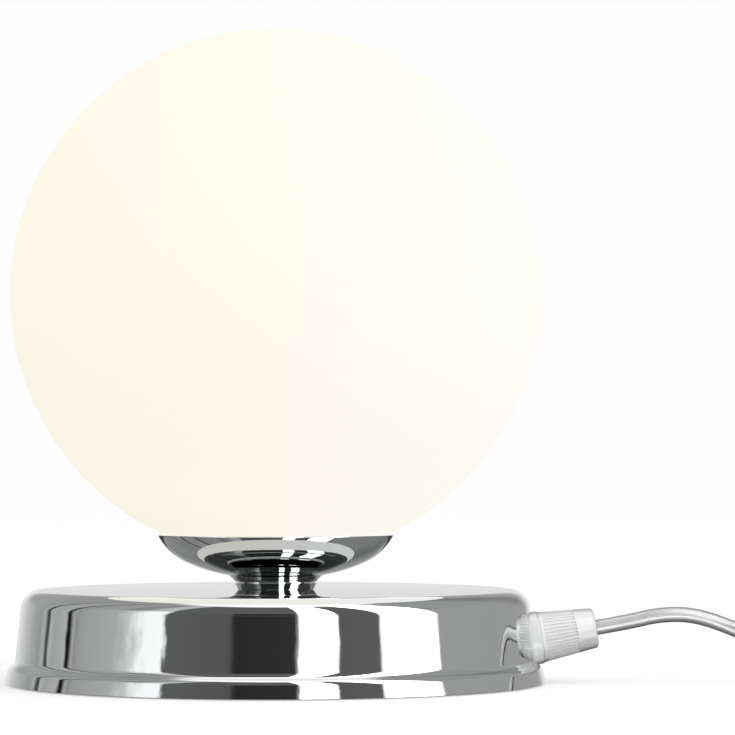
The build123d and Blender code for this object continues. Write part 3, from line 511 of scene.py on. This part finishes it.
# The cap's thread is a wavy line wound up by one pitch in each turn, and cut level at both ends.
cap_low, cap_high = (corner[2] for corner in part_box("bulb_cap"))
skirt_low = cap_high - CAP_SKIRT
wave_count = (math.ceil((skirt_low - cap_low) / THREAD_PITCH) + 2) * WAVE_POINTS
thread, _ = outline(
    [
        (
            CAP_RADIUS - THREAD_DEPTH * (0.5 - 0.5 * math.cos(2 * math.pi * point / WAVE_POINTS)),
            cap_low + THREAD_PITCH * (point / WAVE_POINTS - 1),
        )
        for point in range(wave_count)
    ]
)
bmesh.ops.spin(
    thread,
    geom=thread.verts[:] + thread.edges[:],
    cent=(0.0, 0.0, 0.0),
    axis=(0.0, 0.0, 1.0),
    dvec=(0.0, 0.0, THREAD_PITCH / THREAD_STEPS),
    angle=2 * math.pi,
    steps=THREAD_STEPS,
    use_merge=False,
)
bmesh.ops.remove_doubles(thread, verts=thread.verts[:], dist=1e-6)
for height, outward in ((cap_low, -1.0), (skirt_low, 1.0)):
    cut = bmesh.ops.bisect_plane(
        thread,
        geom=thread.verts[:] + thread.edges[:] + thread.faces[:],
        plane_co=(0.0, 0.0, height),
        plane_no=(0.0, 0.0, outward),
        clear_outer=True,
    )
    bmesh.ops.contextual_create(thread, geom=only(bmesh.types.BMEdge, cut["geom_cut"]))
skirt = bmesh.ops.create_cone(
    thread,
    cap_ends=True,
    segments=THREAD_STEPS,
    radius1=CAP_RADIUS,
    radius2=CAP_RADIUS,
    depth=CAP_SKIRT,
)
bmesh.ops.translate(thread, verts=skirt["verts"], vec=(0.0, 0.0, skirt_low + CAP_SKIRT / 2))
bmesh.ops.recalc_face_normals(thread, faces=thread.faces[:])
set_piece(thread, "bulb_screw_cap", plated, "bulb", ["bulb_cap"])
smooth_copy("bulb_insulator", "bulb_insulator_ring", glazed, "bulb")
smooth_copy("bulb_tip", "bulb_contact_tip", brass, "bulb")

# Glass globe. Blown opal glass with a creamy satin skin, drawn into a short straight neck.
# It stands on a soft ring in the cup and lifts straight off.
GLOBE_CENTRE = Vector((0.0, 0.0, 0.102507))
GLOBE_RADIUS = 0.0700
GLOBE_INSIDE = 0.0670
NECK_RADIUS = 0.02578
NECK_BORE = 0.02318
NECK_END = 0.0347
NECK_EASE = 0.0007
CREAM = (0.985, 0.930, 0.800)
PALE_CREAM = (1.0, 0.980, 0.920)
SHADED_SIDE = -0.055
LIT_SIDE = 0.075
REAR_SHADE_SHIFT = -0.11
DRIFT = 0.02
UNLIT_TONE = 0.13
GLOW = 0.885
MIRRORED_GLOW = (1.36, 1.40, 1.48, 1.0)

# Painted shade: the lit glass is creamier on its left and its rear, as if lit from the right, and
# it looks brighter where the chrome shows it.
opal, opal_tree, opal_shader = new_finish("satin_opal_glass")
opal_spot = add_node(opal_tree, "ShaderNodeSeparateXYZ", {"Vector": object_place(opal_tree)})
# Painted shade: the glow runs from cream on the shaded left and rear to pale cream on the lit
# right.
opal_rear_shade = ramp(opal_tree, opal_spot.outputs["Y"], 0.0, GLOBE_RADIUS, 0.0, REAR_SHADE_SHIFT)
opal_lit_side = figure(opal_tree, "ADD", opal_spot.outputs["X"], opal_rear_shade)
opal_drift = cloud(opal_tree, scale=9.0, detail=3.0)
opal_lit_side = figure(opal_tree, "MULTIPLY_ADD", opal_drift, DRIFT, opal_lit_side)
opal_lit_side = ramp(opal_tree, opal_lit_side, SHADED_SIDE, LIT_SIDE)
opal_tint_and_shade = two_tone(opal_tree, opal_lit_side, CREAM, PALE_CREAM)
opal_ray = opal_tree.nodes.new("ShaderNodeLightPath")
opal_glow = opal_tree.nodes.new("ShaderNodeMix")
opal_glow.data_type = "RGBA"
opal_glow.blend_type = "MULTIPLY"
feed(
    opal_tree,
    opal_glow,
    {"Factor": opal_ray.outputs["Is Glossy Ray"], "A": opal_tint_and_shade, "B": MIRRORED_GLOW},
)
feed(
    opal_tree,
    opal_shader,
    {
        "Base Color": dim(opal_tree, opal_tint_and_shade, UNLIT_TONE),
        "IOR": 1.5,
        "Specular IOR Level": 0.0,
        "Emission Color": opal_glow.outputs["Result"],
        "Emission Strength": GLOW,
    },
)
add_handling(opal_tree, opal_shader, scale=30.0, least=0.42, most=0.60, bump=0.04)

globe = bmesh.new()
globe_top = globe.verts.new((0.0, 0.0, GLOBE_CENTRE.z + GLOBE_RADIUS))
neck_turn = math.degrees(math.asin(NECK_RADIUS / GLOBE_RADIUS))
bore_turn = math.degrees(math.asin(NECK_BORE / GLOBE_INSIDE))
throat = GLOBE_CENTRE.z - math.sqrt(GLOBE_INSIDE**2 - NECK_BORE**2)
globe_corner = arc_from(globe, globe_top, GLOBE_CENTRE, neck_turn - 180, steps=96)
neck_outside = line_to(globe, globe_corner, NECK_RADIUS, NECK_END)
neck_inside = line_to(globe, neck_outside, NECK_BORE, NECK_END)
globe_corner = line_to(globe, neck_inside, NECK_BORE, throat)
arc_from(globe, globe_corner, GLOBE_CENTRE, 180 - bore_turn, steps=64)
round_corner(globe, neck_outside, NECK_EASE, segments=5)
round_corner(globe, neck_inside, NECK_EASE, segments=5)
turn_on_axis(globe, steps=160)
set_piece(globe, "opal_globe", opal, "globe", ["glass_globe"])

# Cord grip. A clear moulded gland in the drum's wall: a collar, and a tapered cap with fine ribs.
# The cap screws over slotted fingers and squeezes them onto the flex.
EDGE_SHADE_END = 0.95
RIB_CREASE = 50.0


def paint_edge_shade(material, first, darkest):
    """Paint a clear skin darker towards its edges, a painted shade in place of the light bending
    where it is looked through lengthwise.
    """
    tree = material.node_tree
    shader = tree.nodes["Principled BSDF"]
    color = shader.inputs["Base Color"].links[0].from_socket
    edge = tree.nodes.new("ShaderNodeLayerWeight").outputs["Facing"]
    shade = ramp(tree, edge, first, EDGE_SHADE_END, 1.0, darkest)
    feed(tree, shader, {"Base Color": dim(tree, color, shade)})


clear = plastic(
    "clear_grip_plastic", (0.95, 0.955, 0.955), roughness=0.15, pebble=1100.0, bump=0.04
)
clear_shader = clear.node_tree.nodes["Principled BSDF"]
feed(clear.node_tree, clear_shader, {"IOR": 1.49, "Transmission Weight": 0.2})
# Painted shade: the grip's colour grows darker towards its edges as seen.
paint_edge_shade(clear, first=0.45, darkest=0.1)
grip_collar = smooth_copy("grip_body", "grip_collar", clear, "base")
grip_ribs = smooth_copy("grip_cap", "grip_ribbed_cap", clear, "base", RIB_CREASE)
dress_nodes(clear, "grip_nut")

# First length of flex. A thin round lead in a clear, silvery sheath, about 1.8 metres in all.
# It leaves the grip with a slight rise, droops to the table and runs to the switch.
FLEX_DIAMETER = 0.0040
GRIP_MOUTH = (0.084453, 0.0, 0.014448)
SHEATH_SHADE = (0.52, 0.525, 0.53)
SHEATH_SILVER = (0.60, 0.60, 0.605)

sheath, sheath_tree, sheath_shader = new_finish("silver_clear_sheath")
sheath_cloud = cloud(sheath_tree, scale=260.0, detail=4.0)
sheath_tint = two_tone(
    sheath_tree, sheath_cloud, SHEATH_SHADE, SHEATH_SILVER, dark_at=0.3, pale_at=0.75
)
feed(
    sheath_tree,
    sheath_shader,
    {
        "Base Color": sheath_tint,
        "Metallic": 0.3,
        "Roughness": 0.32,
        "IOR": 1.5,
        "Coat Weight": 0.3,
        "Coat Roughness": 0.12,
    },
)
# Painted shade: the sheath's colour grows darker towards its edges as seen.
paint_edge_shade(sheath, first=0.25, darkest=0.2)
dress_nodes(sheath, "inner_cord")

core_skin = plastic("core_insulation", (0.30, 0.16, 0.09), roughness=0.35, pebble=900.0, bump=0.05)
dress_nodes(core_skin, "core_leads")


def lay_flex(name, points, steps, nodes):
    """A round lead along a smooth line of points."""
    curve = bpy.data.curves.new(name, "CURVE")
    curve.dimensions = "3D"
    curve.bevel_depth = FLEX_DIAMETER / 2
    curve.bevel_resolution = 6
    curve.resolution_u = steps
    curve.use_fill_caps = True
    line = curve.splines.new("NURBS")
    line.points.add(len(points) - 1)
    for spot, (x, y, z) in zip(line.points, points):
        spot.co = (x, y, z, 1.0)
    line.order_u = 3
    line.use_endpoint_u = True
    curve.materials.append(sheath)
    piece = bpy.data.objects.new(name, curve)
    bpy.context.collection.objects.link(piece)
    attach(piece, "base")
    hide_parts(*nodes)
    return piece


first_points = [
    GRIP_MOUTH,
    (0.093325, 0.0, 0.015964),
    (0.101453, 0.0, 0.0179),
    (0.110453, 0.0, 0.0179),
    (0.120453, 0.0, 0.0146),
    (0.132953, -0.0035, 0.0086),
    (0.142453, -0.0120, 0.0036),
    (0.147453, -0.0255, 0.0021),
    (0.149953, -0.0415, 0.00205),
    (0.160453, -0.0540, 0.00205),
    (0.176453, -0.0585, 0.00205),
    (0.191953, -0.0525, 0.0027),
    (0.199953, -0.038644, 0.0055),
    (0.207453, -0.025653, 0.0055),
]
first_flex = lay_flex("flex_to_switch", first_points, steps=12, nodes=["cord_to_switch"])

# Rocker switch on the flex. Two glossy moulded halves screwed together, with a dished rocker.
# The halves close on the flex where it goes in and out.
SWITCH_CENTRE = Vector((0.222953, 0.001194, 0.0))
SWITCH_WAY = Vector((0.5, 0.866025, 0.0))
SEAM_HEIGHT = 0.0055
SEAM_EASE = 0.00025
SEAM_FROM_FLEX = 0.0055
RIM_ANGLE = math.radians(60)
CASE_GREY = (0.72, 0.72, 0.71)
ROCKER_GREY = (0.55, 0.56, 0.57)

case_plastic = plastic("switch_case_plastic", CASE_GREY, roughness=0.28, pebble=1600.0, bump=0.12)
rocker_plastic = plastic("rocker_plastic", ROCKER_GREY, roughness=0.3, pebble=1600.0, bump=0.12)


def on_seam(corner):
    """Whether a corner lies on the seam of the switch case, clear of where the flex goes in."""
    from_flex = abs((corner.co - SWITCH_CENTRE).cross(SWITCH_WAY).z)
    return abs(corner.co.z - SEAM_HEIGHT) < 1e-6 and from_flex > SEAM_FROM_FLEX


def case_half(node, name):
    """Half of the switch case, with its edge eased so that the seam shows."""
    half = merged_copy(node)
    seam = [edge for edge in half.edges if all(on_seam(corner) for corner in edge.verts)]
    bmesh.ops.bevel(
        half,
        geom=[edge for edge in seam if edge.calc_face_angle(0.0) > RIM_ANGLE],
        offset=SEAM_EASE,
        offset_type="OFFSET",
        segments=1,
        profile=0.5,
        affect="EDGES",
        material=-1,
    )
    return set_piece(half, name, case_plastic, "base", [node])


case_lower = case_half("switch_lower", "switch_case_lower")
case_upper = case_half("switch_upper", "switch_case_upper")
rocker = smooth_copy(
    "switch_rocker", "switch_rocker_key", rocker_plastic, "rocker"
)
dress_nodes(plated, "switch_screws")

# Second length of flex, wound into a neat coil of four layers and tied, as it is sold.
# The coil runs in and out by turns and climbs one layer in each half turn between.
SWITCH_EXIT = (0.238453, 0.028040, 0.0055)
COIL_CENTRE = (0.276135, 0.036307)
COIL_OUTSIDE = 0.0285
COIL_INSIDE = 0.0195
COIL_PITCH = 0.0045
COIL_LOWEST = 0.0030
COIL_LAYERS = 4
LAYER_TURNS = 2.0
CLIMB_TURNS = 0.5
COIL_ENTRY = 150.0
POINTS_PER_TURN = 24


def wound_point(turns):
    """Point of the coil after so many turns."""
    layer = min(int(turns / (LAYER_TURNS + CLIMB_TURNS)), COIL_LAYERS - 1)
    done = turns - layer * (LAYER_TURNS + CLIMB_TURNS)
    climb = max(0.0, done - LAYER_TURNS) if layer < COIL_LAYERS - 1 else 0.0
    sunk = done - 2 * max(0.0, climb - CLIMB_TURNS / 2)
    inward = COIL_OUTSIDE - sunk * COIL_PITCH
    outward = COIL_INSIDE + sunk * COIL_PITCH
    radius = inward if layer % 2 == 0 else outward
    angle = math.radians(COIL_ENTRY - 360 * turns)
    height = COIL_LOWEST + COIL_PITCH * (layer + climb / CLIMB_TURNS)
    return (
        COIL_CENTRE[0] + radius * math.cos(angle),
        COIL_CENTRE[1] + radius * math.sin(angle),
        height,
    )


coil_turns = COIL_LAYERS * (LAYER_TURNS + CLIMB_TURNS) - CLIMB_TURNS
coil_steps = round(coil_turns * POINTS_PER_TURN)
second_points = [
    SWITCH_EXIT,
    (0.242120, 0.034390, 0.0055),
    (0.245786, 0.040742, 0.0030),
    (0.249453, 0.047093, 0.0030),
    *(wound_point(step / POINTS_PER_TURN) for step in range(coil_steps + 1)),
    (0.298816, 0.018593, 0.0165),
    (0.293066, 0.008634, 0.0165),
    (0.283566, -0.007821, 0.00685),
    (0.277816, -0.017780, 0.00685),
]
second_flex = lay_flex(
    "flex_to_plug", second_points, steps=4, nodes=["cord_to_coil", "cord_coil", "cord_to_plug"]
)

# Tie round the coil. A flat strap of soft white plastic, bent to a flattened ring.
# It holds the turns together for storage, and slips off over the coil.
tie_plastic = plastic(
    "tie_strap_plastic", (0.78, 0.78, 0.77), roughness=0.4, pebble=1500.0, bump=0.12
)
coil_strap = smooth_copy("coil_tie", "coil_strap", tie_plastic, "base")

# Plug. A flat two-pole plug of the switch's plastic, moulded onto the end of the flex.
# A tapered relief guards the flex where it goes in, and two nickel pins are set in its face.
pin_metal = contact_metal("nickel_pin", (0.72, 0.70, 0.65), scale=180.0, least=0.14, most=0.30)
plug_tail = smooth_copy(
    "plug_relief", "plug_strain_relief", case_plastic, "base"
)
plug_shell = smooth_copy("plug_body", "plug_flat_body", case_plastic, "base")
plug_prongs = smooth_copy("plug_pins", "plug_round_pins", pin_metal, "base")

# Studio floor. A wide sheet of white paper that glows a little, so that it stays as white as the
# light behind it. It is clear from below, and shows neither in the chrome nor in bounced light.
PAPER_WHITE = 0.985
PAPER_TINT = 0.55
PAPER_SIZE = 60.0

paper, paper_tree, paper_shader = new_finish("white_paper")
underside = paper_tree.nodes.new("ShaderNodeNewGeometry").outputs["Backfacing"]
feed(
    paper_tree,
    paper_shader,
    {
        "Base Color": (PAPER_TINT, PAPER_TINT, PAPER_TINT, 1.0),
        "Roughness": 1.0,
        "Specular IOR Level": 0.0,
        "Emission Color": (1.0, 1.0, 1.0, 1.0),
        "Emission Strength": PAPER_WHITE - PAPER_TINT,
        "Alpha": figure(paper_tree, "SUBTRACT", 1.0, underside),
    },
)

floor_mesh = bpy.data.meshes.new("studio_floor")
floor_shape = bmesh.new()
bmesh.ops.create_grid(floor_shape, x_segments=1, y_segments=1, size=PAPER_SIZE)
floor_shape.to_mesh(floor_mesh)
floor_shape.free()
floor_mesh.materials.append(paper)
floor = bpy.data.objects.new("studio_floor", floor_mesh)
bpy.context.collection.objects.link(floor)
floor.visible_diffuse = False
floor.visible_glossy = False
floor.visible_transmission = False

# Studio light. Even white light from all round, and one soft window light from the right.
# What the chrome mirrors is a room with walls, two windows, a lit ceiling and a bright table.
# Its walls are bands of light, each from a bearing on, with 0 straight in front of the lamp.
WINDOW = 2.8
ROOM_BANDS = [
    (-180, 0.70), (-163, 0.64), (-129, 0.30), (-124.5, 0.45), (-123, 0.06), (-121, 0.06),
    (-119.5, 0.45), (-116, 0.36), (-106.8, 0.44), (-105.8, 0.005), (-103.2, 0.005), (-102, 0.48),
    (-100, 0.27), (-97, 0.34), (-76, 0.42), (-68, 0.60), (-61, 1.0), (-51.5, 1.05),
    (-49.5, 0.11), (-20, 0.09), (-18, 0.022), (9.7, 0.03),
    (11.1, WINDOW), (26.4, WINDOW), (27.8, 0.10), (47.2, 0.11), (48.6, WINDOW), (75.4, WINDOW),
    (76.8, 0.34), (152, 0.32), (163, 0.64), (180, 0.70),
]
WINDOW_HEAD = 2.5
SKIRTING = 0.32
DIM_AT_BACK = 0.5
DIM_AT_SIDES = 0.08
DIM_IN_FRONT = 0.5
DARKEST = 0.01
BACKDROP = 0.57
FRIEZE = 0.11
CEILING = 1.12
GROUND_IN_FRONT = 0.85
GROUND_BEHIND = 0.05
GROUND_UNDER_LAMP = 0.08
TABLE = 2.2
DEEP_LIGHT = 0.6
DEEP_LEAST = 0.045
MIRROR_GAIN = 1.39

# Soft edges of the room, each from where it starts to where it ends. Heights are sines of the
# angle above the lamp, and turns are degrees away from straight in front.
UNDER_LAMP = (-0.80, -0.60)
TABLE_NEAR = (-0.75, -0.60)
TABLE_FAR = (-0.25, -0.40)
FLOOR_LINE = (-0.02, -0.12)
SKIRTING_TOP = (0.055, 0.035)
BACK_WALL_HEAD = (0.12, 0.25)
BACKDROP_HEAD = (0.25, 0.12)
FRIEZE_FOOT = (0.22, 0.25)
RAIL_FOOT = (0.25, 0.28)
RAIL_HEAD = (0.43, 0.40)
WINDOW_TOPS = (0.45, 0.65)
HIGH_WALL = (0.48, 0.56)
CEILING_LINE = (0.91, 0.95)
EVEN_FOOT = (-0.85, -0.40)
FRONT_TURNS = (84.0, 74.0)
TABLE_TURNS = (80.0, 60.0)
GROUND_TURNS = (80.0, 100.0)
SKIRTING_TURNS = (110.0, 98.0)
BACK_WALL_TURNS = (130.0, 160.0)
BACKDROP_TURNS = (172.0, 176.0)
WINDOW_BEARINGS = (5.0, 11.0)


def between(tree, share, first, second):
    """The first value where the share is 0, and the second where it is 1."""
    mix = add_node(tree, "ShaderNodeMix", {"Factor": share, "A": first, "B": second})
    return mix.outputs["Result"]


world = bpy.data.worlds.new("studio_world")
bpy.context.scene.world = world
world.use_nodes = True
sky = world.node_tree
sky.nodes.clear()
ray = sky.nodes.new("ShaderNodeLightPath")
look_way = sky.nodes.new("ShaderNodeTexCoord").outputs["Generated"]
way = add_node(sky, "ShaderNodeSeparateXYZ", {"Vector": look_way})
rise = way.outputs["Z"]
ahead = figure(sky, "MULTIPLY", way.outputs["Y"], -1.0)
bearing = figure(sky, "DEGREES", figure(sky, "ARCTAN2", way.outputs["X"], ahead))
turned = figure(sky, "ABSOLUTE", bearing)

room = add_node(sky, "ShaderNodeValToRGB", {"Fac": ramp(sky, bearing, -180.0, 180.0)})
room_stops = room.color_ramp.elements
while len(room_stops) > 1:
    room_stops.remove(room_stops[-1])
for index, (angle, light) in enumerate(ROOM_BANDS):
    along = angle / 360 + 0.5
    stop = room_stops[0] if index == 0 else room_stops.new(along)
    stop.position = along
    stop.color = (light, light, light, 1.0)

# The walls are darker high up at the back and low down in front, and a little darker towards the
# ceiling, but the two windows on the right are brightest at their heads.
at_back = ramp(sky, turned, *BACK_WALL_TURNS)
high_at_back = figure(sky, "MULTIPLY", at_back, ramp(sky, rise, *BACK_WALL_HEAD))
dim_at_back = ramp(sky, high_at_back, 0.0, 1.0, 1.0, DIM_AT_BACK)
walls = figure(sky, "MULTIPLY", room.outputs["Color"], dim_at_back)
skirting = ramp(sky, rise, *SKIRTING_TOP)
skirting = figure(sky, "MULTIPLY", skirting, ramp(sky, turned, *SKIRTING_TURNS))
walls = figure(sky, "SUBTRACT", walls, figure(sky, "MULTIPLY", skirting, SKIRTING))
walls = figure(sky, "MAXIMUM", walls, DARKEST)
window_heads = ramp(sky, rise, *WINDOW_TOPS, 0.0, WINDOW_HEAD)
window_heads = figure(sky, "MULTIPLY", window_heads, ramp(sky, bearing, *WINDOW_BEARINGS))
window_heads = figure(sky, "MULTIPLY", window_heads, ramp(sky, walls, 0.5, 1.5))
high_up = ramp(sky, turned, *FRONT_TURNS, DIM_AT_SIDES, DIM_IN_FRONT)
high_up = figure(sky, "MULTIPLY", high_up, ramp(sky, rise, *HIGH_WALL))
walls = figure(sky, "MULTIPLY", walls, figure(sky, "SUBTRACT", 1.0, high_up))
walls = figure(sky, "ADD", walls, window_heads)

# A pale backdrop hangs straight behind, a frieze runs along a rail, and the ceiling is lit.
backdrop = ramp(sky, turned, *BACKDROP_TURNS)
backdrop = figure(sky, "MULTIPLY", backdrop, ramp(sky, rise, *BACKDROP_HEAD))
walls = between(sky, backdrop, walls, BACKDROP)
rail = figure(sky, "MULTIPLY", ramp(sky, rise, *RAIL_FOOT), ramp(sky, rise, *RAIL_HEAD))
frieze = figure(sky, "SUBTRACT", ramp(sky, rise, *FRIEZE_FOOT), rail)
walls = figure(sky, "MAXIMUM", walls, figure(sky, "MULTIPLY", frieze, FRIEZE))
walls = between(sky, ramp(sky, rise, *CEILING_LINE), walls, CEILING)

# The ground is dark behind and straight below, and a strip of bright table lies in front.
ground = ramp(sky, turned, *GROUND_TURNS, GROUND_IN_FRONT, GROUND_BEHIND)
under_lamp = ramp(sky, rise, *UNDER_LAMP, GROUND_UNDER_LAMP, 1.0)
ground = figure(sky, "MULTIPLY", ground, under_lamp)
table = figure(sky, "MULTIPLY", ramp(sky, rise, *TABLE_FAR), ramp(sky, rise, *TABLE_NEAR))
table = figure(sky, "MULTIPLY", table, ramp(sky, turned, *TABLE_TURNS, 0.0, TABLE))
ground = figure(sky, "ADD", ground, table)
room_light = between(sky, ramp(sky, rise, *FLOOR_LINE), walls, ground)

# What is mirrored three times or more, as in the collar, has more contrast but no full black.
squared = figure(sky, "MULTIPLY", room_light, room_light)
deep_light = figure(sky, "MULTIPLY_ADD", squared, DEEP_LIGHT, DEEP_LEAST)
is_deep = ramp(sky, ray.outputs["Glossy Depth"], 2.0, 3.0)
room_light = between(sky, is_deep, room_light, deep_light)
mirrored = figure(sky, "MULTIPLY", room_light, MIRROR_GAIN)
even = between(sky, ray.outputs["Is Camera Ray"], ramp(sky, rise, *EVEN_FOOT), PAPER_WHITE)
sky_light = between(sky, ray.outputs["Is Glossy Ray"], even, mirrored)
sky_glow = add_node(sky, "ShaderNodeBackground", {"Color": sky_light})
add_node(sky, "ShaderNodeOutputWorld", {"Surface": sky_glow.outputs["Background"]})


def face_point(thing, point):
    """Turn a light or a camera towards a point."""
    thing.rotation_euler = (Vector(point) - thing.location).to_track_quat("-Z", "Y").to_euler()


soft_light = bpy.data.lights.new("window_light", "AREA")
soft_light.shape = "RECTANGLE"
soft_light.size = 1.2
soft_light.size_y = 1.2
soft_light.energy = 6.0
soft_light_object = bpy.data.objects.new("window_light", soft_light)
soft_light_object.location = (1.1, -0.9, 1.2)
face_point(soft_light_object, (0.0, 0.0, 0.08))
soft_light_object.visible_glossy = False
bpy.context.collection.objects.link(soft_light_object)

# Camera. It stands just under a metre away, at the height of the globe's lower half.
# It looks a little up and to the right, with a long lens, as the photograph was taken.
eye = bpy.data.cameras.new("photo_camera")
eye.sensor_width = 36.0
eye.lens = 170.7
eye.clip_start = 0.01
eye_object = bpy.data.objects.new("photo_camera", eye)
eye_object.location = (0.0, -0.921, 0.0570)
face_point(eye_object, (0.0242, 0.0, 0.0832))
bpy.context.collection.objects.link(eye_object)
bpy.context.scene.camera = eye_object
bpy.context.scene.view_settings.view_transform = "Standard"
